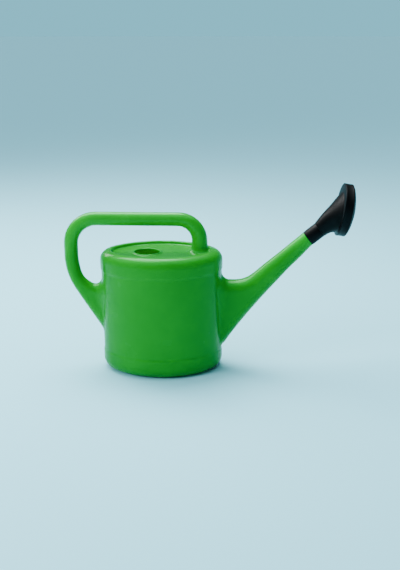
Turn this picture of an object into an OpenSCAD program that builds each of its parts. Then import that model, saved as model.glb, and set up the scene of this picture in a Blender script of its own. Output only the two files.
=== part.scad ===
// Ten litre plastic watering can with a push-on swivelling rose.
// Origin: centre of the oval base, on the floor. +Z is up and +X points towards the spout.

/* [Tank] */
// Length of the oval tank over its base, along X
tank_length = 267; // [240:1:300]
// Width of the oval tank over its base, along Y
tank_width = 203; // [170:1:230]
// Height of the tank from the floor to the crest of its rim
tank_height = 271; // [255:1:290]
// Growth of the top and its shift back, so the rear wall leans out by twice this
lean = 2; // [0:0.5:4]
// Wall thickness of the green moulding
wall = 2.4; // [2:0.1:3]
// Radius of the fillet between the wall and the rim
shoulder_radius = 22; // [16:1:26]
// Radius of the fillet between the wall and the base
base_radius = 25; // [18:1:30]
// Depth of the deck below the crest of the rim
deck_depth = 7; // [4:0.5:10]
// Depth of the panel behind the two bands of the wall
panel_depth = 1.6; // [0.8:0.1:2]

/* [Fill hole] */
// Diameter of the fill hole
fill_diameter = 56; // [40:1:64]
// Distance of the fill hole behind the tank's centre
fill_offset = 33; // [20:1:40]
// Height of the lip round the fill hole above the deck
lip_height = 3; // [1:0.5:5]

/* [Handle] */
// Height of the grip's centreline above the floor
grip_height = 339.5; // [330:0.5:350]
// Diameter of the grip
grip_diameter = 30; // [26:1:32]
// Distance of the rear leg's centreline behind the tank's centre
rear_reach = 201; // [195:1:206]
// Distance of the front leg's centreline ahead of the tank's centre
front_reach = 83; // [74:1:84]

/* [Spout] */
// Angle of the spout's tip above the horizontal
tip_angle = 39; // [36:1:44]
// Outer diameter of the spout where the rose meets it
tip_diameter = 33; // [32:0.5:36]
// Outer diameter of the spigot that the rose is pushed on to
spigot_diameter = 26; // [24:0.5:27]
// Length of the spigot
spigot_length = 22; // [16:1:30]

/* [Rose] */
// Diameter of the rose's cap
rose_diameter = 115; // [108:1:118]
// Depth of the cap's skirt
skirt_depth = 19; // [16:1:24]
// Height of the dome of the perforated face
dome_height = 12; // [6:1:14]
// Angle of the face's normal below the horizontal
face_tilt = 9; // [4:1:14]
// Diameter of each spray hole
spray_hole = 2; // [1.2:0.1:2.6]
// Number of rings of spray holes round the middle one
spray_rings = 5; // [3:1:5]
// Wall thickness of the black mouldings
rose_wall = 2; // [1.6:0.1:2.4]
// Running clearance between parts that turn or slide, on the radius
clearance = 0.05; // [0.03:0.01:0.1]

/* [Hidden] */

can_green = [0.05, 0.62, 0.13];
rose_black = [0.05, 0.05, 0.055];
washer_grey = [0.16, 0.16, 0.17];

// Tank.
half_length = tank_length / 2;
half_width = tank_width / 2;
deck_z = tank_height - deck_depth;
crest_reach = half_length - shoulder_radius;
foot_reach = half_length - base_radius;
panel_reach = half_length - panel_depth;
rim_roll = 7;
foot_ring = 5;
foot_width = 16;
push_up = 6;
band_low_top = 40;
band_high_bottom = 232;
band_slope = 8;
lip_width = 4;
oval_sides = 60;

// Openings in the tank's wall under the handle's two ends.
front_port_radius = 12;
rear_port_width = 22;
rear_port_height = 84;
rear_root_z = 147;

// Handle: the bends of its centreline, and the half height and half width of its ends.
front_bend = 48;
rear_bend = 56;
grip_radius = grip_diameter / 2;
root_depth = 8;

// Spout tip: the frame whose Z axis runs along the spigot, with its origin at the spigot's shoulder.
tip_x = half_length + 188;
tip_z = 295;
tip_radius = tip_diameter / 2;
spigot_radius = spigot_diameter / 2;
spigot_bore = spigot_radius - wall;
spout_root_z = 130.5;
spout_root_height = 76;

// Collar, along the tip axis.
collar_radius = tip_radius + 0.9;
collar_length = spigot_length + 10;
washer_length = 2;
web_length = 2;
seat_gap = 0.1;
socket_depth = spigot_length + washer_length + seat_gap;
swivel_start = socket_depth + web_length;
swivel_radius = spigot_radius + 1;
bead_height = 0.6;
bead_start = swivel_start + 2.3;
bead_length = 1.6;

// Rose head: the face frame's Z axis is the face's normal, with its origin on the skirt's back edge.
face_x = tip_x + 68;
face_z = tip_z + 65.5;
cap_radius = rose_diameter / 2;
skirt_bore = cap_radius - rose_wall;
rim_radius = skirt_bore - clearance;
rim_depth = 13;
mouth_radius = 46;
mouth_drop = 6.3;
dome_radius = (cap_radius * cap_radius + dome_height * dome_height) / (2 * dome_height);
dome_centre = skirt_depth + dome_height - dome_radius;
spray_pitch = 9;

// Points along an arc, from one angle to another.
function arc(cx, cz, r, from, to, steps = 6) =
    [for (i = [0:steps]) let (a = from + (to - from) * i / steps) [cx + r * cos(a), cz + r * sin(a)]];

// Catmull-Rom curve through stations, at station i and fraction t.
function curve_at(s, i, t) =
    let (a = s[max(i - 1, 0)], b = s[i], c = s[i + 1], d = s[min(i + 2, len(s) - 1)])
    0.5 * (2 * b + (c - a) * t + (2 * a - 5 * b + 4 * c - d) * t * t + (3 * (b - c) + d - a) * t * t * t);

function curve(s, steps) =
    [for (i = [0:len(s) - 2]) for (k = [0:steps - 1]) curve_at(s, i, k / steps), s[len(s) - 1]];

// One ring of a swept tube. A station is [x, z, heading, half height, half width]. The ring stands
// square to the heading, an angle in the XZ plane. A ring that is taller than it is wide has flat
// sides and round ends. Less makes it smaller all round.
function ring(st, sides, less) =
    let (flat = max(st[3] - st[4], 0))
    [for (k = [0:sides - 1])
        let (a = 360 * k / sides, h = flat * sign(cos(a)) + (st[3] - flat - less) * cos(a))
        [st[0] - h * sin(st[2]), (less - st[4]) * sin(a), st[1] + h * cos(st[2])]];

// Closed polyhedron through rings of points, where each ring has the same number of sides.
module skinned(points, rings, sides) {
    skin = [for (r = [0:rings - 2]) for (k = [0:sides - 1])
        let (a = r * sides + k, b = r * sides + (k + 1) % sides)
        each [[a, a + sides, b], [b, a + sides, b + sides]]];
    start = [for (k = [0:sides - 1]) k];
    end = [for (k = [sides - 1:-1:0]) (rings - 1) * sides + k];
    polyhedron(points, concat([start, end], skin), convexity = 6);
}

// Solid tube through a list of stations.
module sweep(stations, sides, less = 0) {
    skinned([for (s = stations) each ring(s, sides, less)], len(stations), sides);
}

// Puts its children in the frame of the spout's tip.
module at_tip() {
    translate([tip_x, 0, tip_z]) rotate([0, 90 - tip_angle, 0]) children();
}

// Puts its children in the frame of the rose's face.
module at_face() {
    translate([face_x, 0, face_z]) rotate([0, 90 + face_tilt, 0]) children();
}

// Half section of the tank as [reach along X, height] points, inset by the wall for its inside.
function tank_outline(inset) = concat(
    [[foot_reach - foot_width, push_up + inset], [foot_reach - foot_ring, inset]],
    arc(foot_reach, base_radius, base_radius - inset, -90, 0),
    [[half_length - inset, band_low_top],
     [panel_reach - inset, band_low_top + band_slope],
     [panel_reach - inset, band_high_bottom - band_slope],
     [half_length - inset, band_high_bottom]],
    arc(crest_reach, tank_height - shoulder_radius, shoulder_radius - inset, 0, 90),
    [[crest_reach - rim_roll, deck_z - inset]]);

// Closed solid whose level sections are ellipses, one for each point of the outline. They grow
// upwards and move back, so that the front wall stays upright and the rear wall leans out.
module oval_solid(outline, ratio) {
    levels = len(outline);
    points = [for (p = outline) for (k = [0:oval_sides - 1])
        let (a = 360 * k / oval_sides, out = lean * p[1] / tank_height, reach = p[0] + out)
        [reach * cos(a) - out, reach * ratio * sin(a), p[1]]];
    skinned(points, levels, oval_sides);
}

module tank_outside() {
    oval_solid(tank_outline(0), half_width / half_length);
}

module tank_inside() {
    oval_solid(tank_outline(wall), (half_width - wall) / (half_length - wall));
}

// The upright part of the wall that the handle and the spout grow from.
module tank_panel() {
    oval_solid([[panel_reach, band_low_top + band_slope], [panel_reach, band_high_bottom - band_slope]],
        half_width / half_length);
}

module slot(length, width) {
    square([length - width, width], center = true);
    for (side = [-1, 1]) translate([side * (length - width) / 2, 0]) circle(d = width, $fn = 48);
}

module tank() {
    color(can_green) difference() {
        union() {
            tank_outside();
            translate([-fill_offset, 0, deck_z - wall / 2])
                cylinder(r = fill_diameter / 2 + lip_width, h = lip_height + wall / 2, $fn = 96);
        }
        tank_inside();
        translate([-fill_offset, 0, deck_z - 2 * wall])
            cylinder(d = fill_diameter, h = 4 * wall + lip_height, $fn = 96);
        translate([front_reach, 0, deck_z - 2 * wall])
            cylinder(r = front_port_radius, h = 4 * wall, $fn = 48);
        translate([-half_length - 2 * lean, 0, rear_root_z]) rotate([0, 90, 0])
            linear_extrude(2 * lean + 5 * wall) slot(rear_port_height, rear_port_width);
        sweep(spout_route(root_depth, wall), 24, wall);
    }
}

// Stations of the handle from its foot on the deck to its root on the rear wall. Its ends run on
// by the given length.
function handle_route(extra) = concat(
    [[front_reach, deck_z - extra, 90, 18.6, 18.2],
     [front_reach, deck_z + 6, 90, 17.8, 17.2],
     [front_reach, deck_z + 16, 90, 17, 16.4]],
    [for (a = [0:15:90]) [front_reach - front_bend + front_bend * cos(a),
        grip_height - front_bend + front_bend * sin(a), 90 + a,
        grip_radius + 2 - a / 45, grip_radius + 1 - a / 90]],
    [for (a = [90:15:180]) [rear_bend - rear_reach + rear_bend * cos(a),
        grip_height - rear_bend + rear_bend * sin(a), 90 + a, grip_radius, grip_radius]],
    curve([
        [-rear_reach, 262, 270, grip_radius, grip_radius],
        [-rear_reach + 1.5, 244, 274, grip_radius + 0.6, grip_radius],
        [-rear_reach + 7, 218, 282, grip_radius + 1.5, grip_radius],
        [-rear_reach + 17, 195.5, 297, grip_radius + 3, grip_radius + 0.3],
        [-half_length - 32, 173.5, 323, 22.5, grip_radius + 1],
        [-half_length - 15, 157.5, 349, 41, grip_radius + 2.5],
        [-panel_reach + root_depth, rear_root_z, 360, 59, grip_radius + 5]], 3),
    [[-panel_reach + root_depth + extra + 0.1, rear_root_z, 360, 59, grip_radius + 5]]);

module handle() {
    color(can_green) difference() {
        sweep(handle_route(0), 20);
        sweep(handle_route(wall), 20, wall);
        tank_panel();
    }
}

// Stations of the spout from inside the tank to its tip. The root runs on inwards by extra, and the
// tip stops short by the given length.
function spout_route(extra, short) = concat(
    [[panel_reach - root_depth - extra, spout_root_z, 0, spout_root_height, 25]],
    curve([
        [panel_reach, spout_root_z, 0, spout_root_height, 25],
        [half_length + 17, 138, 3, 65, 24.6],
        [half_length + 38, 154, 11, 47.5, 23.8],
        [half_length + 61.5, 175.5, 26, 32.3, 22.5],
        [half_length + 87, 199, 37, 25.2, 21],
        [half_length + 112, 223, 43, 22.2, 19.6],
        [half_length + 149, 258, 43, 19.2, 18.2],
        [tip_x - short * cos(tip_angle), tip_z - short * sin(tip_angle),
            tip_angle, tip_radius, tip_radius]], 3));

module spout() {
    color(can_green) difference() {
        union() {
            sweep(spout_route(0, 0), 24);
            at_tip() translate([0, 0, -wall / 2])
                cylinder(r = spigot_radius, h = spigot_length + wall / 2, $fn = 64);
        }
        sweep(spout_route(root_depth, wall), 24, wall);
        at_tip() translate([0, 0, -2 * wall])
            cylinder(r = spigot_bore, h = spigot_length + 3 * wall, $fn = 64);
        tank_panel();
    }
}

// Socket that is pushed on to the spigot, with the swivel's groove inside its front end.
module rose_collar() {
    socket_radius = spigot_radius + clearance;
    groove_radius = swivel_radius + bead_height + clearance;
    color(rose_black) at_tip() rotate_extrude($fn = 64)
        polygon([
            [socket_radius, seat_gap], [tip_radius, seat_gap], [collar_radius, 4],
            [collar_radius, collar_length],
            [swivel_radius + clearance, collar_length],
            [swivel_radius + clearance, bead_start + bead_length + clearance],
            [groove_radius, bead_start + bead_length + clearance],
            [groove_radius, bead_start - clearance],
            [swivel_radius + clearance, bead_start - clearance],
            [swivel_radius + clearance, swivel_start],
            [spigot_bore, swivel_start], [spigot_bore, socket_depth],
            [socket_radius, socket_depth]]);
}

module spout_washer() {
    color(washer_grey) at_tip() translate([0, 0, socket_depth - washer_length]) difference() {
        cylinder(r = spigot_radius, h = washer_length, $fn = 64);
        translate([0, 0, -1]) cylinder(r = spigot_bore, h = washer_length + 2, $fn = 64);
    }
}

// Stations of the funnel from its neck to its mouth, in the back of the rim. The first one stands
// off the collar by lead, and the last one goes past the back plate by over.
function funnel_route(lead, over) =
    let (neck = collar_length + seat_gap + lead, mouth = [face_x - mouth_drop * sin(face_tilt),
        face_z - mouth_drop * cos(face_tilt)])
    concat(curve([
        [tip_x + neck * cos(tip_angle), tip_z + neck * sin(tip_angle),
            tip_angle, collar_radius, collar_radius],
        [tip_x + 39, tip_z + 34.5, 21, 22.5, 24],
        [tip_x + 52, tip_z + 45.5, 6, 30, 33],
        [mouth[0], mouth[1], -face_tilt, mouth_radius, mouth_radius]], 3),
        [[mouth[0] + over * cos(face_tilt), mouth[1] - over * sin(face_tilt), -face_tilt,
            mouth_radius, mouth_radius]]);

module rose_funnel() {
    neck_start = swivel_start + seat_gap;
    color(rose_black) difference() {
        union() {
            sweep(funnel_route(0, rose_wall / 2), 32);
            at_tip() translate([0, 0, neck_start])
                cylinder(r = swivel_radius, h = collar_length + 1 - neck_start, $fn = 64);
            at_tip() translate([0, 0, bead_start])
                cylinder(r = swivel_radius + bead_height, h = bead_length, $fn = 64);
            at_face() cylinder(r = rim_radius, h = rim_depth, $fn = 96);
        }
        at_face() translate([0, 0, rose_wall])
            cylinder(r = rim_radius - rose_wall, h = rim_depth, $fn = 96);
        sweep(funnel_route(rose_wall, 2 * rose_wall), 32, rose_wall);
        at_tip() translate([0, 0, swivel_start]) cylinder(r = spigot_bore, h = collar_length, $fn = 64);
    }
}

// Domed spray face and the skirt that grips the funnel's rim.
module rose_cap() {
    color(rose_black) at_face() difference() {
        rotate_extrude($fn = 96) polygon(concat(
            [[skirt_bore, 0], [cap_radius, 0]],
            arc(0, dome_centre, dome_radius, acos(cap_radius / dome_radius), 90),
            arc(0, dome_centre, dome_radius - rose_wall,
                90, acos(skirt_bore / (dome_radius - rose_wall)))));
        for (ring_no = [0:spray_rings]) for (k = [0:max(6 * ring_no, 1) - 1])
            rotate([0, 0, 360 * k / max(6 * ring_no, 1)])
                translate([ring_no * spray_pitch, 0, skirt_depth - 4])
                    cylinder(d = spray_hole, h = dome_height + 8, $fn = 16);
    }
}

tank();
handle();
spout();
rose_collar();
spout_washer();
rose_funnel();
rose_cap();
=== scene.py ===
"""Plastic watering can: one seamless green moulding and a black swivelling rose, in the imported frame."""
import math

import bmesh
import bpy
import numpy as np
from mathutils import Matrix, Vector


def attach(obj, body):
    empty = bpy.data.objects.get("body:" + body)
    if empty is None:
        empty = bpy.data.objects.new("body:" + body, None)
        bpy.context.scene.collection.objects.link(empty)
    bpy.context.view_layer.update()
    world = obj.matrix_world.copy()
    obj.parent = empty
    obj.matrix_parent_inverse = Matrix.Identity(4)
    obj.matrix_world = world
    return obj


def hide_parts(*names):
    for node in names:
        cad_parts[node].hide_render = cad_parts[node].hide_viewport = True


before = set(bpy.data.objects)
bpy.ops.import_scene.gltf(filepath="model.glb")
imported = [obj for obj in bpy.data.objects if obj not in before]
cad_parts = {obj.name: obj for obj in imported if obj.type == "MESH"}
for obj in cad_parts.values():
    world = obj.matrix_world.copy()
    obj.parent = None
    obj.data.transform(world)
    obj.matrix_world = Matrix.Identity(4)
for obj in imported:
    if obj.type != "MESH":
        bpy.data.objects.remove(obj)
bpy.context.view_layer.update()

MM = 0.001

# ---------------------------------------------------------------- sizes, in millimetres
HALF_LENGTH, HALF_WIDTH = 133.5, 101.5
LEAN = 2
RIM_Z = 271
DECK_Z = RIM_Z - 7
WALL = 2.4
SHOULDER = 22
BASE_FILLET = 25
PANEL_DEPTH = 1.6
PANEL_LOW, PANEL_HIGH = 44, 228
PUSH_UP = 6
BAND_SLOPE = 4
RIM_WIDTH, FOOT_WIDTH = 26, 36
HOLE_X, HOLE_RADIUS = -33, 28
LIP_INSET, LIP_RADIUS = 2.2, 2.6

GRIP_REAR_Z, GRIP_FRONT_Z, GRIP_RADIUS = 339.9, 338.4, 15.1
FRONT_LEG_X, FRONT_BEND = 83.2, 48
REAR_LEG_X, REAR_BEND = -200.8, 56

TIP = Vector((321.5, 0, 295))
TIP_ANGLE = math.radians(39)
SPIGOT_RADIUS, SPIGOT_LENGTH = 13, 22
BORE_RADIUS = SPIGOT_RADIUS - WALL
RIDGE_HALF, RIDGE_HEIGHT = 0.7, 0.35


# ---------------------------------------------------------------- distance fields
def round_and(a, b, r):
    """Intersection of two solids whose edge is rounded to radius r."""
    return np.minimum(-r, np.maximum(a, b)) + np.hypot(np.maximum(r + a, 0), np.maximum(r + b, 0))


def round_or(a, b, r):
    """Union of two solids with a fillet of radius r between them."""
    return np.maximum(r, np.minimum(a, b)) - np.hypot(np.maximum(r - a, 0), np.maximum(r - b, 0))


def ramp(low, high, v):
    """Smooth step from 0 at low to 1 at high."""
    t = np.clip((v - low) / (high - low), 0, 1)
    return t * t * (3 - 2 * t)


def smooth_line(points, steps=6):
    """Catmull-Rom curve through given points."""
    p = np.array([points[0]] + list(points) + [points[-1]], float)
    out = []
    for i in range(1, len(p) - 2):
        for t in np.arange(steps) / steps:
            a, b, c, d = p[i - 1:i + 3]
            out.append(0.5 * (2 * b + (c - a) * t + (2 * a - 5 * b + 4 * c - d) * t ** 2
                              + (3 * (b - c) + d - a) * t ** 3))
    return out + [p[-1]]


def arc(cx, cz, r, start, end, steps=10):
    """Points on a circle's arc, with its angles in degrees."""
    angles = np.radians(np.linspace(start, end, steps + 1))
    return [(cx + r * math.cos(a), cz + r * math.sin(a)) for a in angles]


def outline_distance(x, z, points):
    """Signed distance in the XZ plane to a closed outline, negative inside."""
    best = None
    flips = None
    count = len(points)
    for i in range(count):
        (ax, az), (bx, bz) = points[i - 1], points[i]
        ex, ez = bx - ax, bz - az
        wx, wz = x - ax, z - az
        t = np.clip((wx * ex + wz * ez) / (ex * ex + ez * ez + 1e-12), 0, 1)
        near = (wx - ex * t) ** 2 + (wz - ez * t) ** 2
        crossing = ((az > z) != (bz > z)) & (wx < ex * wz / (ez + 1e-12 * (ez == 0)))
        best = near if best is None else np.minimum(best, near)
        flips = crossing if flips is None else flips ^ crossing
    return np.where(flips, -1.0, 1.0) * np.sqrt(best)


def stroke_distance(x, z, points, radii):
    """Distance in the XZ plane to a line drawn with a changing radius."""
    best = None
    for (ax, az), (bx, bz), ra, rb in zip(points[:-1], points[1:], radii[:-1], radii[1:]):
        ex, ez = bx - ax, bz - az
        t = np.clip(((x - ax) * ex + (z - az) * ez) / (ex * ex + ez * ez), 0, 1)
        d = np.hypot(x - ax - ex * t, z - az - ez * t) - (ra + (rb - ra) * t)
        best = d if best is None else np.minimum(best, d)
    return best


def oval_distance(x, y):
    """Distance to the tank's oval, which is made of two end arcs and two side arcs."""
    end_radius = 0.56 * HALF_LENGTH
    end_centre = HALF_LENGTH - end_radius
    lead = HALF_WIDTH - end_radius
    side_centre = (end_centre ** 2 - lead ** 2) / (2 * lead)
    ax, ay = np.abs(x), np.abs(y)
    by_end = np.hypot(ax - end_centre, ay) - end_radius
    by_side = np.hypot(ax, ay + side_centre) - (HALF_WIDTH + side_centre)
    return np.where((ax - end_centre) * side_centre > ay * end_centre, by_end, by_side)


def tank_field(x, y, z):
    """Oval body with its shallow panel, the recessed deck, the pushed-up base and the fill hole's lip."""
    grow = LEAN * np.clip(z / RIM_Z, 0, 1)
    plan = oval_distance(x + grow, y) - grow
    panel = ramp(PANEL_LOW - BAND_SLOPE, PANEL_LOW + BAND_SLOPE, z)
    panel = panel * (1 - ramp(PANEL_HIGH - BAND_SLOPE, PANEL_HIGH + BAND_SLOPE, z))
    side = plan + PANEL_DEPTH * panel
    body = np.maximum(round_and(side, z - RIM_Z, SHOULDER), round_and(side, -z, BASE_FILLET))
    deck = round_and(plan + RIM_WIDTH, DECK_Z - z, 4)
    body = round_and(body, -deck, 3)
    foot = round_and(plan + FOOT_WIDTH, z - PUSH_UP, 4)
    body = round_and(body, -foot, 3)
    lip = np.hypot(np.hypot(x - HOLE_X, y) - HOLE_RADIUS - LIP_INSET, z - DECK_Z) - LIP_RADIUS
    return round_or(body, lip, 2)


handle_line = ([(FRONT_LEG_X + 1, DECK_Z - 6), (FRONT_LEG_X + 0.4, DECK_Z + 10),
                (FRONT_LEG_X, DECK_Z + 24), (FRONT_LEG_X, GRIP_FRONT_Z - FRONT_BEND)]
               + arc(FRONT_LEG_X - FRONT_BEND, GRIP_FRONT_Z - FRONT_BEND, FRONT_BEND, 0, 90)[1:]
               + arc(REAR_LEG_X + REAR_BEND, GRIP_REAR_Z - REAR_BEND, REAR_BEND, 90, 180)
               + [(REAR_LEG_X, 250)])
handle_radii = ([GRIP_RADIUS + 5, GRIP_RADIUS + 3] + [GRIP_RADIUS + 1.8] * 2
                + [GRIP_RADIUS + 1.8 * (1 - k / 10) for k in range(1, 11)] + [GRIP_RADIUS] * 12)
gusset_outline = (
    smooth_line([(-216, 262), (-215.3, 246), (-211.5, 223), (-203.3, 199), (-189.8, 175), (-167.8, 140),
                 (-145, 105), (-132.5, 87), (-113, 80)])
    + smooth_line([(-112, 188), (-130, 188.5), (-151, 191.5), (-166, 200.2), (-175.5, 211), (-181, 225),
                   (-184.5, 244), (-186, 262)]))
spout_outline = (
    smooth_line([(110, 201), (133, 201.5), (151, 201.3), (164, 201.3), (176, 202.7), (189, 207.5),
                 (202, 216), (228, 238.3), (254, 259.5), (279, 280.8), (304, 302), (320, 315.5)])
    + smooth_line([(344, 290), (331, 281), (307, 255.2), (281.3, 229), (256.8, 201.4), (230.2, 171.5),
                   (204.4, 141), (178.4, 108.7), (151.4, 72.5), (138.5, 54.5), (119, 44)]))


def handle_field(x, y, z):
    """Loop and rear root, oval across, and wider where they meet the tank."""
    line = stroke_distance(x, z, handle_line, handle_radii)
    gusset = outline_distance(x, z, gusset_outline)
    flat = np.minimum(line, gusset)
    foot = 1.4 * ramp(30, FRONT_LEG_X, x) + 1.5 * (1 - ramp(DECK_Z, DECK_Z + 30, z))
    root = 4 * ramp(-165, -128, x) * (1 - ramp(215, 250, z))
    thick = GRIP_RADIUS + np.where(x > 0, foot, root)
    return round_and(flat, np.abs(y) - thick, thick - 0.05)


def spout_field(x, y, z):
    """Spout that is drawn from the side and narrows towards the tip."""
    flat = outline_distance(x, z, spout_outline)
    thick = 25 - 8.5 * ramp(120, 330, x)
    return round_and(flat, np.abs(y) - thick, thick - 0.05)


def can_field(x, y, z):
    """The whole moulding, with fillets at the roots of the handle and the spout."""
    handle_fillet = np.where(x > 0, 13, 5 + 15 * ramp(120, 175, z))
    whole = round_or(tank_field(x, y, z), handle_field(x, y, z), handle_fillet)
    return round_or(whole, spout_field(x, y, z), 7 + 12 * ramp(90, 190, z))


# ---------------------------------------------------------------- field to mesh
def project(field, points, level, passes=4):
    """Moves points on to the surface where the field has the given level."""
    e = 0.05
    for _ in range(passes):
        x, y, z = points.T
        f = field(x, y, z) - level
        g = np.stack([field(x + e, y, z) - field(x - e, y, z),
                      field(x, y + e, z) - field(x, y - e, z),
                      field(x, y, z + e) - field(x, y, z - e)], 1) / (2 * e)
        size = np.maximum((g * g).sum(1), 0.05)
        points = points - np.clip(f / size, -1, 1)[:, None] * g
    return points


def surface_mesh(name, field, level, low, high, step):
    """Surface nets: one vertex for each cell that the surface crosses, then moved on to it."""
    axes = [np.arange(lo, hi + step, step) for lo, hi in zip(low, high)]
    x, y, z = axes[0][:, None, None], axes[1][None, :, None], axes[2][None, None, :]
    values = (field(x, y, z) - level).astype(np.float32)
    inside = values < 0
    corners = [(i, j, k) for i in (0, 1) for j in (0, 1) for k in (0, 1)]
    shape = [n - 1 for n in values.shape]

    def corner(array, c):
        return array[c[0]:c[0] + shape[0], c[1]:c[1] + shape[1], c[2]:c[2] + shape[2]]

    total = sum(corner(inside, c).astype(np.uint8) for c in corners)
    cells = np.argwhere((total > 0) & (total < 8))
    at = {c: values[cells[:, 0] + c[0], cells[:, 1] + c[1], cells[:, 2] + c[2]] for c in corners}
    crossing_sum = np.zeros((len(cells), 3))
    crossings = np.zeros(len(cells))
    for a in corners:
        for axis in range(3):
            if a[axis]:
                continue
            b = tuple(v + (n == axis) for n, v in enumerate(a))
            cut = (at[a] < 0) != (at[b] < 0)
            gap = np.where(cut, at[a] - at[b], 1)
            spot = np.tile(np.array(a, float), (len(cells), 1))
            spot[:, axis] = at[a] / gap
            crossing_sum += spot * cut[:, None]
            crossings += cut
    points = (cells + crossing_sum / crossings[:, None]) * step + np.array(low)
    points = project(field, points, level)
    index = -np.ones(shape, np.int64)
    index[cells[:, 0], cells[:, 1], cells[:, 2]] = np.arange(len(cells))
    quads = []
    for axis in range(3):
        u, v = [n for n in range(3) if n != axis]
        first = np.take(inside, range(values.shape[axis] - 1), axis)
        second = np.take(inside, range(1, values.shape[axis]), axis)
        edges = np.argwhere(first != second)
        starts_inside = first[tuple(edges.T)]
        ring = []
        for du, dv in ((1, 1), (0, 1), (0, 0), (1, 0)):
            c = edges.copy()
            c[:, u] -= du
            c[:, v] -= dv
            ring.append(index[tuple(c.T)])
        quad = np.stack(ring, 1)
        flip = starts_inside == (axis == 1)
        quad[flip] = quad[flip][:, ::-1]
        quads.append(quad)
    mesh = bpy.data.meshes.new(name)
    mesh.from_pydata((points * MM).tolist(), [], np.concatenate(quads).tolist())
    mesh.validate()
    return mesh


def new_object(name, mesh):
    obj = bpy.data.objects.new(name, mesh)
    bpy.context.scene.collection.objects.link(obj)
    return obj


def lathe(name, profile, place, sides=96):
    """Closed solid of revolution about the place matrix's Z axis, from (radius, height) points in mm."""
    bm = bmesh.new()
    rings = []
    for radius, height in profile:
        if radius < 1e-6:
            rings.append([bm.verts.new(place @ (Vector((0, 0, height)) * MM))])
            continue
        spots = [Vector((radius * math.cos(a), radius * math.sin(a), height))
                 for a in (2 * math.pi * k / sides for k in range(sides))]
        rings.append([bm.verts.new(place @ (spot * MM)) for spot in spots])
    closed = profile[0][0] > 1e-6 and profile[-1][0] > 1e-6
    pairs = list(zip(rings[:-1], rings[1:])) + ([(rings[-1], rings[0])] if closed else [])
    for a, b in pairs:
        for k in range(sides):
            n = (k + 1) % sides
            loop = [a[k % len(a)], a[n % len(a)], b[n % len(b)], b[k % len(b)]]
            unique = list(dict.fromkeys(loop))
            if len(unique) > 2:
                bm.faces.new(unique)
    bmesh.ops.recalc_face_normals(bm, faces=bm.faces)
    mesh = bpy.data.meshes.new(name)
    bm.to_mesh(mesh)
    bm.free()
    return new_object(name, mesh)


def boolean(target, tool, operation):
    """Applies one boolean to the target and deletes the tool."""
    modifier = target.modifiers.new("cut", "BOOLEAN")
    modifier.operation = operation
    modifier.solver = "MANIFOLD"
    modifier.object = tool
    bpy.context.view_layer.update()
    result = bpy.data.meshes.new_from_object(target.evaluated_get(bpy.context.evaluated_depsgraph_get()))
    target.modifiers.clear()
    target.data = result
    bpy.data.objects.remove(tool)


def frame_at(origin, direction):
    """Matrix of a local frame in metres whose Z axis runs along direction, in the XZ plane."""
    z_axis = Vector(direction).normalized()
    y_axis = Vector((0, 1, 0))
    x_axis = y_axis.cross(z_axis)
    turn = Matrix((x_axis, y_axis, z_axis)).transposed().to_4x4()
    return Matrix.Translation(Vector(origin) * MM) @ turn


tip_frame = frame_at(TIP, (math.cos(TIP_ANGLE), 0, math.sin(TIP_ANGLE)))


# ---------------------------------------------------------------- green moulding
STEP = 2.2
SHARP_ANGLE = 35


def make_can():
    """Hollow moulding from two levels of one field, with the spigot added and the two openings cut."""
    low = (-224, -107, -5)
    high = (352, 107, 360)
    can = new_object("can_shell", surface_mesh("can_shell", can_field, 0, low, high, STEP))
    inner = new_object("inner", surface_mesh("inner", can_field, -WALL, low, high, STEP + 0.6))
    boolean(can, lathe("end", [(0, 0), (40, 0), (40, 40), (0, 40)], tip_frame), "DIFFERENCE")
    spigot = [(0, -6), (SPIGOT_RADIUS, -6), (SPIGOT_RADIUS, SPIGOT_LENGTH - 0.8),
              (SPIGOT_RADIUS - 0.8, SPIGOT_LENGTH), (0, SPIGOT_LENGTH)]
    boolean(can, lathe("spigot", spigot, tip_frame), "UNION")
    boolean(can, inner, "DIFFERENCE")
    bore = [(0, -12), (BORE_RADIUS, -12), (BORE_RADIUS, 40), (0, 40)]
    boolean(can, lathe("bore", bore, tip_frame), "DIFFERENCE")
    hole = Matrix.Translation(Vector((HOLE_X, 0, DECK_Z)) * MM)
    throat = [(0, -20), (HOLE_RADIUS, -20), (HOLE_RADIUS, 1.2), (HOLE_RADIUS + 0.5, 2.2),
              (HOLE_RADIUS + 1.6, 2.9), (HOLE_RADIUS + 1.6, 20), (0, 20)]
    boolean(can, lathe("throat", throat, hole), "DIFFERENCE")
    return can


def add_parting_line(can):
    """Raises the thin ridge that the two halves of the mould leave along the can's middle plane."""
    bm = bmesh.new()
    bm.from_mesh(can.data)
    for y in (-RIDGE_HALF, 0, RIDGE_HALF):
        near = [f for f in bm.faces if min(abs(v.co.y) for v in f.verts) < 4 * MM]
        geometry = list(dict.fromkeys(v for f in near for v in f.verts))
        geometry += list(dict.fromkeys(e for f in near for e in f.edges)) + near
        bmesh.ops.bisect_plane(bm, geom=geometry, dist=0.12 * MM, plane_co=(0, y * MM, 0),
                               plane_no=(0, 1, 0))
    bm.normal_update()
    seam = [v for v in bm.verts if abs(v.co.y) < (RIDGE_HALF + 0.02) * MM]
    spots = np.array([v.co for v in seam]) / MM
    along = (spots - np.array(TIP)) @ np.array(tip_frame.col[2][:3])
    hole = np.hypot(spots[:, 0] - HOLE_X, spots[:, 1])
    outside = np.abs(can_field(*spots.T)) < 1.2
    outside &= (along < -1) & (hole > HOLE_RADIUS + 6) & (spots[:, 2] > 2)
    height = np.where(np.abs(spots[:, 1]) < 0.02, RIDGE_HEIGHT, 0)
    raised = project(can_field, spots, height)
    for v, spot, moved in zip(seam, raised, outside):
        if moved:
            v.co = (spot[0] * MM, v.co.y, spot[2] * MM)
    bm.to_mesh(can.data)
    bm.free()


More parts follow.
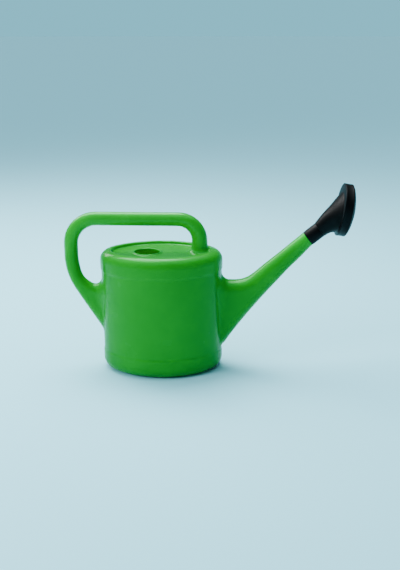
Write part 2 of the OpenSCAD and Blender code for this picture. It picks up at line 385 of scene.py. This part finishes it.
def shade(obj):
    obj.data.polygons.foreach_set("use_smooth", [True] * len(obj.data.polygons))
    obj.data.set_sharp_from_angle(angle=math.radians(SHARP_ANGLE))


# ---------------------------------------------------------------- black rose
COLLAR_RADIUS, COLLAR_LENGTH = 17.4, 32
SOCKET_DEPTH = SPIGOT_LENGTH + 2.1
SWIVEL_START = SOCKET_DEPTH + 2
SWIVEL_RADIUS = SPIGOT_RADIUS + 1
BEAD_START, BEAD_LENGTH, BEAD_HEIGHT = SWIVEL_START + 2.3, 1.6, 0.6
FIT = 0.05
FACE = Vector((389.5, 0, 360.5))
FACE_TILT = math.radians(-9)
CAP_RADIUS, SKIRT_DEPTH, DOME_HEIGHT = 57.7, 19, 12
ROSE_WALL = 2
DOME_RADIUS = (CAP_RADIUS ** 2 + DOME_HEIGHT ** 2) / (2 * DOME_HEIGHT)
DOME_CENTRE = SKIRT_DEPTH + DOME_HEIGHT - DOME_RADIUS
RIM_RADIUS, RIM_DEPTH = CAP_RADIUS - ROSE_WALL - FIT, 13
MOUTH_RADIUS, MOUTH_DROP = 46, 6.3
SPRAY_RINGS, SPRAY_PITCH, SPRAY_HOLE = 5, 9, 2
face_frame = frame_at(FACE, (math.cos(FACE_TILT), 0, math.sin(FACE_TILT)))


def skin_rings(name, rings):
    """Closed tube through rings of points, which share their number of points, back to the first ring."""
    bm = bmesh.new()
    loops = [[bm.verts.new(Vector(p) * MM) for p in ring] for ring in rings]
    sides = len(loops[0])
    for a, b in zip(loops, loops[1:] + loops[:1]):
        for k in range(sides):
            n = (k + 1) % sides
            bm.faces.new((a[k], a[n], b[n], b[k]))
    bmesh.ops.recalc_face_normals(bm, faces=bm.faces)
    mesh = bpy.data.meshes.new(name)
    bm.to_mesh(mesh)
    bm.free()
    return new_object(name, mesh)


def station_ring(x, z, heading, height, width, sides=96):
    """Oval ring that stands square to its heading, an angle in the XZ plane in degrees."""
    h = math.radians(heading)
    angles = [2 * math.pi * k / sides for k in range(sides)]
    return [(x - height * math.cos(a) * math.sin(h), width * math.sin(a),
             z + height * math.cos(a) * math.cos(h)) for a in angles]


def tip_station(along, radius):
    """Round station on the spout's axis, at a distance out from the tip."""
    p = TIP + Vector((math.cos(TIP_ANGLE), 0, math.sin(TIP_ANGLE))) * along
    return (p.x, p.z, math.degrees(TIP_ANGLE), radius, radius)


def face_station(forward, radius, drop=0.0):
    """Round station on the face's axis, or at a drop below it, as the funnel's mouth sits off centre."""
    n = Vector((math.cos(FACE_TILT), 0, math.sin(FACE_TILT)))
    down = Vector((math.sin(FACE_TILT), 0, -math.cos(FACE_TILT)))
    p = FACE + n * forward + down * drop
    return (p.x, p.z, math.degrees(FACE_TILT), radius, radius)


def funnel_skin(inset):
    """Stations up the funnel's side, from its neck to where it turns into the back plate."""
    start = tip_station(COLLAR_LENGTH + 0.1 + inset, COLLAR_RADIUS - inset)
    third = (TIP.x + 52, TIP.z + 45.5, 6, 30.5 - inset, 32 - inset)
    second = (TIP.x + 39, TIP.z + 34.5, 21, 22.8 - inset, 23.5 - inset)
    mouth = face_station(-2.5, MOUTH_RADIUS - 3 - inset, MOUTH_DROP + 0.3)
    return smooth_line([start, second, third, mouth], 9)


def make_funnel():
    """The neck that runs in the collar, the funnel, and the back plate with the rim for the cap."""
    start, bead, neck_end, plate = SWIVEL_START + 0.1, BEAD_START, COLLAR_LENGTH + 0.1, RIM_RADIUS
    neck = [tip_station(start, BORE_RADIUS + 0.6), tip_station(start, SWIVEL_RADIUS - 0.4),
            tip_station(start + 0.4, SWIVEL_RADIUS)]
    neck += [tip_station(bead + BEAD_LENGTH * t, SWIVEL_RADIUS + BEAD_HEIGHT * math.sin(math.pi * t))
             for t in (0, 0.15, 0.35, 0.65, 0.85, 1)]
    neck += [tip_station(neck_end, SWIVEL_RADIUS), tip_station(neck_end, COLLAR_RADIUS - 0.7),
             tip_station(neck_end + 0.2, COLLAR_RADIUS - 0.2)]
    outer = [tuple(s) for s in funnel_skin(0)[1:]]
    fillet = [face_station(-2.5 + 2.5 * math.sin(a), MOUTH_RADIUS + 0.2 - 3 * math.cos(a), MOUTH_DROP)
              for a in (0.5, 1.0, 1.45)]
    rim = [face_station(0, plate - 1), face_station(0.3, plate - 0.3), face_station(1, plate),
           face_station(RIM_DEPTH - 0.6, plate), face_station(RIM_DEPTH, plate - 0.6),
           face_station(RIM_DEPTH, plate - ROSE_WALL + 0.4),
           face_station(RIM_DEPTH - 0.5, plate - ROSE_WALL),
           face_station(ROSE_WALL + 0.8, plate - ROSE_WALL),
           face_station(ROSE_WALL, plate - ROSE_WALL - 0.8)]
    mouth = [face_station(ROSE_WALL, MOUTH_RADIUS - 0.6, MOUTH_DROP),
             face_station(1.2, MOUTH_RADIUS - 1.8, MOUTH_DROP)]
    inner = [tuple(s) for s in funnel_skin(ROSE_WALL)[::-1]]
    bore = [tip_station(COLLAR_LENGTH + 2.2, BORE_RADIUS + 1),
            tip_station(COLLAR_LENGTH + 1.4, BORE_RADIUS), tip_station(SWIVEL_START + 0.7, BORE_RADIUS)]
    stations = neck + outer + fillet + rim + mouth + inner + bore
    return skin_rings("rose_funnel_body", [station_ring(*s) for s in stations])


def make_collar():
    """Socket for the spigot at one end, and the grooved bore for the funnel's neck at the other."""
    r, length = COLLAR_RADIUS, COLLAR_LENGTH
    groove = SWIVEL_RADIUS + BEAD_HEIGHT + FIT
    socket = SPIGOT_RADIUS + FIT
    profile = [(socket + 0.5, 0.1), (r - 1.3, 0.1), (r - 0.75, 0.25), (r - 0.5, 0.8), (r - 0.1, 4),
               (r, 7), (r, length - 0.6), (r - 0.2, length - 0.15), (r - 0.6, length),
               (SWIVEL_RADIUS + FIT + 0.4, length),
               (SWIVEL_RADIUS + FIT, length - 0.4), (SWIVEL_RADIUS + FIT, BEAD_START + BEAD_LENGTH + FIT),
               (groove, BEAD_START + BEAD_LENGTH + FIT), (groove, BEAD_START - FIT),
               (SWIVEL_RADIUS + FIT, BEAD_START - FIT), (SWIVEL_RADIUS + FIT, SWIVEL_START),
               (BORE_RADIUS + 0.3, SWIVEL_START), (BORE_RADIUS, SWIVEL_START - 0.3),
               (BORE_RADIUS, SOCKET_DEPTH), (socket, SOCKET_DEPTH), (socket, 0.6)]
    return lathe("rose_collar_body", profile, tip_frame)


def dome_at(radius, inset=0.0):
    """Height of the cap's dome, or of the surface at an inset below it, at a radius."""
    return DOME_CENTRE + math.sqrt((DOME_RADIUS - inset) ** 2 - radius ** 2)


def make_cap():
    """Skirt and domed face, hollowed out and then drilled from the middle outwards, ring by ring."""
    edge = 2.6
    bore = CAP_RADIUS - ROSE_WALL
    profile = [(bore, 0.5), (bore + 0.5, 0), (CAP_RADIUS - 0.6, 0), (CAP_RADIUS, 0.6), (CAP_RADIUS, 3.0),
               (CAP_RADIUS - 0.35, 3.5), (CAP_RADIUS - 0.35, SKIRT_DEPTH - edge - 1.2),
               (CAP_RADIUS - 0.1, SKIRT_DEPTH - edge - 0.4)]
    profile += [(CAP_RADIUS - edge + edge * math.cos(a), SKIRT_DEPTH - edge + edge * math.sin(a))
                for a in (0, 0.3, 0.6, 0.9, 1.15)]
    profile += [(r, dome_at(r)) for r in (52, 48, 42, 35, 28, 21, 14, 7)] + [(0, dome_at(0))]
    inner = [(r, dome_at(r, ROSE_WALL)) for r in (7, 14, 21, 28, 35, 42, 48, 52)]
    outside = lathe("rose_cap_body", [(0, 0.5)] + profile, face_frame, 192)
    ceiling = dome_at(bore, ROSE_WALL)
    hollow = [(0, -2), (bore, -2), (bore, ceiling - 1), (bore - 0.8, ceiling)]
    hollow += inner[::-1] + [(0, dome_at(0, ROSE_WALL))]
    boolean(outside, lathe("hollow", hollow, face_frame, 192), "DIFFERENCE")
    r = SPRAY_HOLE / 2
    for ring in range(SPRAY_RINGS + 1):
        count = max(6 * ring, 1)
        reach = Matrix.Translation((ring * SPRAY_PITCH * MM, 0, 0))
        top = dome_at(ring * SPRAY_PITCH)
        drill = [(0, top - 8), (r, top - 8), (r, top - 0.7), (r + 0.7, top + 0.15), (r + 0.7, top + 5),
                 (0, top + 5)]
        turns = [Matrix.Rotation(2 * math.pi * k / count, 4, "Z") for k in range(count)]
        drills = [lathe("drill", drill, face_frame @ (turn @ reach), 20) for turn in turns]
        join(drills)
        boolean(outside, drills[0], "DIFFERENCE")
    return outside


def join(objects):
    """Joins the meshes of objects into the first one."""
    bm = bmesh.new()
    for o in objects:
        bm.from_mesh(o.data)
    bm.to_mesh(objects[0].data)
    bm.free()
    for o in objects[1:]:
        bpy.data.objects.remove(o)


# ---------------------------------------------------------------- materials
NOISE_RANGE = (0.3, 0.7)
GREEN_DEEP, GREEN_LIGHT = (0.0002, 0.25, 0.013), (0.0004, 0.30, 0.017)
GLOW_GREEN, TINT_GREEN = (0.002, 0.8, 0.05), (0.1, 1.0, 0.3)
GLOW_BELOW, GLOW_ABOVE, GLOW_LEVELS = 0.27, 0.04, (0.262, 0.285)
BLACK_DEEP, BLACK_LIGHT = (0.0010, 0.0012, 0.0015), (0.0022, 0.0023, 0.0026)
RUBBER_DEEP, RUBBER_LIGHT = (0.02, 0.02, 0.02), (0.035, 0.034, 0.033)


def new_material(name):
    mat = bpy.data.materials.new(name)
    mat.use_nodes = True
    return mat, mat.node_tree, mat.node_tree.nodes["Principled BSDF"]


def noise(tree, scale, detail, stretch=None):
    """Noise texture in object space. A stretch scales the space first, for streaks."""
    place = tree.nodes.new("ShaderNodeTexCoord").outputs["Object"]
    if stretch:
        mapping = tree.nodes.new("ShaderNodeMapping")
        mapping.inputs["Scale"].default_value = stretch
        tree.links.new(place, mapping.inputs["Vector"])
        place = mapping.outputs["Vector"]
    texture = tree.nodes.new("ShaderNodeTexNoise")
    texture.inputs["Scale"].default_value = scale
    texture.inputs["Detail"].default_value = detail
    tree.links.new(place, texture.inputs["Vector"])
    return texture.outputs["Fac"]


def remap(tree, value, low, high, to_low, to_high):
    """Value stretched from one range to another, and held at its ends."""
    node = tree.nodes.new("ShaderNodeMapRange")
    for key, number in zip(("From Min", "From Max", "To Min", "To Max"), (low, high, to_low, to_high)):
        node.inputs[key].default_value = number
    tree.links.new(value, node.inputs["Value"])
    return node.outputs["Result"]


def clouds(tree, scale, detail, low=0, high=1):
    """Soft patches between low and high, from the middle of the noise's range."""
    return remap(tree, noise(tree, scale, detail), *NOISE_RANGE, low, high)


def mix_colors(tree, factor, first, second):
    node = tree.nodes.new("ShaderNodeMix")
    node.data_type = "RGBA"
    tree.links.new(factor, node.inputs[0])
    for socket, color in ((node.inputs[6], first), (node.inputs[7], second)):
        if isinstance(color, tuple):
            socket.default_value = (*color, 1)
        else:
            tree.links.new(color, socket)
    return node.outputs[2]


def bump(tree, height, strength, distance, normal=None):
    node = tree.nodes.new("ShaderNodeBump")
    node.inputs["Strength"].default_value = strength
    node.inputs["Distance"].default_value = distance
    tree.links.new(height, node.inputs["Height"])
    if normal:
        tree.links.new(normal, node.inputs["Normal"])
    return node.outputs["Normal"]


def green_polyethylene():
    """Blow-moulded polyethylene: faint cloudy colour, satin gloss, fine orange peel and slow waves. The
    wall lets some light through, and less of it from the rim upwards."""
    mat, tree, shader = new_material("can_green")
    cloud = clouds(tree, 9, 2)
    color = mix_colors(tree, cloud, GREEN_DEEP, GREEN_LIGHT)
    tree.links.new(color, shader.inputs["Base Color"])
    rough = clouds(tree, 18, 3, 0.21, 0.28)
    tree.links.new(rough, shader.inputs["Roughness"])
    shader.inputs["IOR"].default_value = 1.51
    shader.inputs["Specular IOR Level"].default_value = 0.3
    shader.inputs["Specular Tint"].default_value = (*TINT_GREEN, 1)
    shader.inputs["Subsurface Weight"].default_value = 0.08
    shader.inputs["Subsurface Radius"].default_value = (0.2, 1.0, 0.25)
    shader.inputs["Subsurface Scale"].default_value = 0.004
    peel = bump(tree, noise(tree, 420, 2), 0.12, 0.0004)
    waves = bump(tree, noise(tree, 7, 2, stretch=(0.6, 0.6, 5)), 0.25, 0.003, peel)
    tree.links.new(waves, shader.inputs["Normal"])
    glow = tree.nodes.new("ShaderNodeBsdfTranslucent")
    glow.inputs["Color"].default_value = (*GLOW_GREEN, 1)
    blend = tree.nodes.new("ShaderNodeMixShader")
    split = tree.nodes.new("ShaderNodeSeparateXYZ")
    tree.links.new(tree.nodes.new("ShaderNodeTexCoord").outputs["Object"], split.inputs[0])
    share = remap(tree, split.outputs["Z"], *GLOW_LEVELS, GLOW_BELOW, GLOW_ABOVE)
    tree.links.new(share, blend.inputs["Fac"])
    tree.links.new(shader.outputs[0], blend.inputs[1])
    tree.links.new(glow.outputs[0], blend.inputs[2])
    tree.links.new(blend.outputs[0], tree.nodes["Material Output"].inputs["Surface"])
    return mat


def black_plastic():
    """Injection-moulded black plastic with a fine spark-eroded grain."""
    mat, tree, shader = new_material("rose_black")
    cloud = clouds(tree, 40, 3)
    color = mix_colors(tree, cloud, BLACK_DEEP, BLACK_LIGHT)
    tree.links.new(color, shader.inputs["Base Color"])
    rough = clouds(tree, 90, 4, 0.38, 0.50)
    tree.links.new(rough, shader.inputs["Roughness"])
    shader.inputs["IOR"].default_value = 1.49
    shader.inputs["Specular IOR Level"].default_value = 0.07
    grain = bump(tree, noise(tree, 1500, 2), 0.18, 0.0002)
    tree.links.new(grain, shader.inputs["Normal"])
    return mat


def grey_rubber():
    """Dark, dull rubber for the washer."""
    mat, tree, shader = new_material("washer_rubber")
    cloud = clouds(tree, 120, 3)
    color = mix_colors(tree, cloud, RUBBER_DEEP, RUBBER_LIGHT)
    tree.links.new(color, shader.inputs["Base Color"])
    tree.links.new(clouds(tree, 200, 2, 0.7, 0.9), shader.inputs["Roughness"])
    return mat


green, black, rubber = green_polyethylene(), black_plastic(), grey_rubber()


def finish_piece(obj, body, slot, mat, *nodes):
    """Shades a piece, gives it its material, and tells the frame what it rides and replaces."""
    shade(obj)
    obj.data.materials.clear()
    obj.data.materials.append(mat)
    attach(obj, body)
    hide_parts(*nodes)


can = make_can()
add_parting_line(can)
finish_piece(can, "can", "can_green", green, "tank", "handle", "spout")
finish_piece(make_collar(), "collar", "rose_black", black, "rose_collar")
finish_piece(make_funnel(), "rose_head", "rose_black", black, "rose_funnel")
finish_piece(make_cap(), "cap", "rose_black", black, "rose_cap")
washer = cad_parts["spout_washer"]
washer.data.materials.clear()
washer.data.materials.append(rubber)


# ---------------------------------------------------------------- camera, floor and lights
FLOOR_COLOR = (0.26, 0.68, 0.82)
SKY_COLOR = (0.80, 0.95, 1.0)
SKY_STRENGTH, SUN_STRENGTH = 0.13, 3.0
HORIZON_BAND = (0.1, 0.25)
TARGET = Vector((0.0839, 0, 0.1885))
CAMERA_DISTANCE = 2.0
CAMERA_ELEVATION = math.radians(16.06)
LENS = 56.5
FLOOR_RADIUS = 80


def make_camera():
    data = bpy.data.cameras.new("camera")
    data.lens = LENS
    data.sensor_width = 36
    camera = bpy.data.objects.new("camera", data)
    offset = Vector((0, -math.cos(CAMERA_ELEVATION), math.sin(CAMERA_ELEVATION))) * CAMERA_DISTANCE
    camera.location = TARGET + offset
    camera.rotation_euler = (math.pi / 2 - CAMERA_ELEVATION, 0, 0)
    bpy.context.scene.collection.objects.link(camera)
    bpy.context.scene.camera = camera


def make_floor():
    bpy.ops.mesh.primitive_circle_add(vertices=96, radius=FLOOR_RADIUS, fill_type="NGON")
    floor = bpy.context.object
    floor.name = "floor"
    mat, _, shader = new_material("floor")
    shader.inputs["Base Color"].default_value = (*FLOOR_COLOR, 1)
    shader.inputs["Roughness"].default_value = 0.9
    floor.data.materials.append(mat)


def add_light(name, data, location, target):
    light = bpy.data.objects.new(name, data)
    light.location = location
    light.rotation_euler = (Vector(target) - Vector(location)).to_track_quat("-Z", "Y").to_euler()
    bpy.context.scene.collection.objects.link(light)
    return light


def area_light(name, location, target, size, power):
    data = bpy.data.lights.new(name, "AREA")
    data.size = size
    data.energy = power
    return add_light(name, data, location, target)


def sky_light(strength, spread):
    """Very soft light from overhead that reaches the far floor as well."""
    data = bpy.data.lights.new("sky", "SUN")
    data.energy = strength
    data.angle = math.radians(spread)
    data.color = SKY_COLOR
    add_light("sky", data, (-0.5, 0.3, 3), (0, 0, 0))


def make_world():
    """Even sky with a low band at the horizon that is as bright as the far floor."""
    world = bpy.data.worlds.new("world")
    world.use_nodes = True
    tree = world.node_tree
    background = tree.nodes["Background"]
    split = tree.nodes.new("ShaderNodeSeparateXYZ")
    tree.links.new(tree.nodes.new("ShaderNodeTexCoord").outputs["Generated"], split.inputs[0])
    height = remap(tree, split.outputs["Z"], *HORIZON_BAND, 0, 1)
    gain = (SUN_STRENGTH / math.pi + SKY_STRENGTH) / SKY_STRENGTH
    horizon = tuple(f * w * gain for f, w in zip(FLOOR_COLOR, SKY_COLOR))
    tree.links.new(mix_colors(tree, height, horizon, SKY_COLOR), background.inputs["Color"])
    background.inputs["Strength"].default_value = SKY_STRENGTH
    bpy.context.scene.world = world


make_camera()
make_floor()
make_world()
area_light("top", (-0.35, 0.7, 2.1), (0.05, 0, 0.2), 1.5, 110)
area_light("key", (-2.0, -1.3, 1.3), (0.0, 0, 0.2), 0.9, 50).visible_glossy = False
area_light("rim", (-1.6, 1.5, 1.6), (0.1, 0, 0.2), 0.9, 32)
sky_light(SUN_STRENGTH, 90)
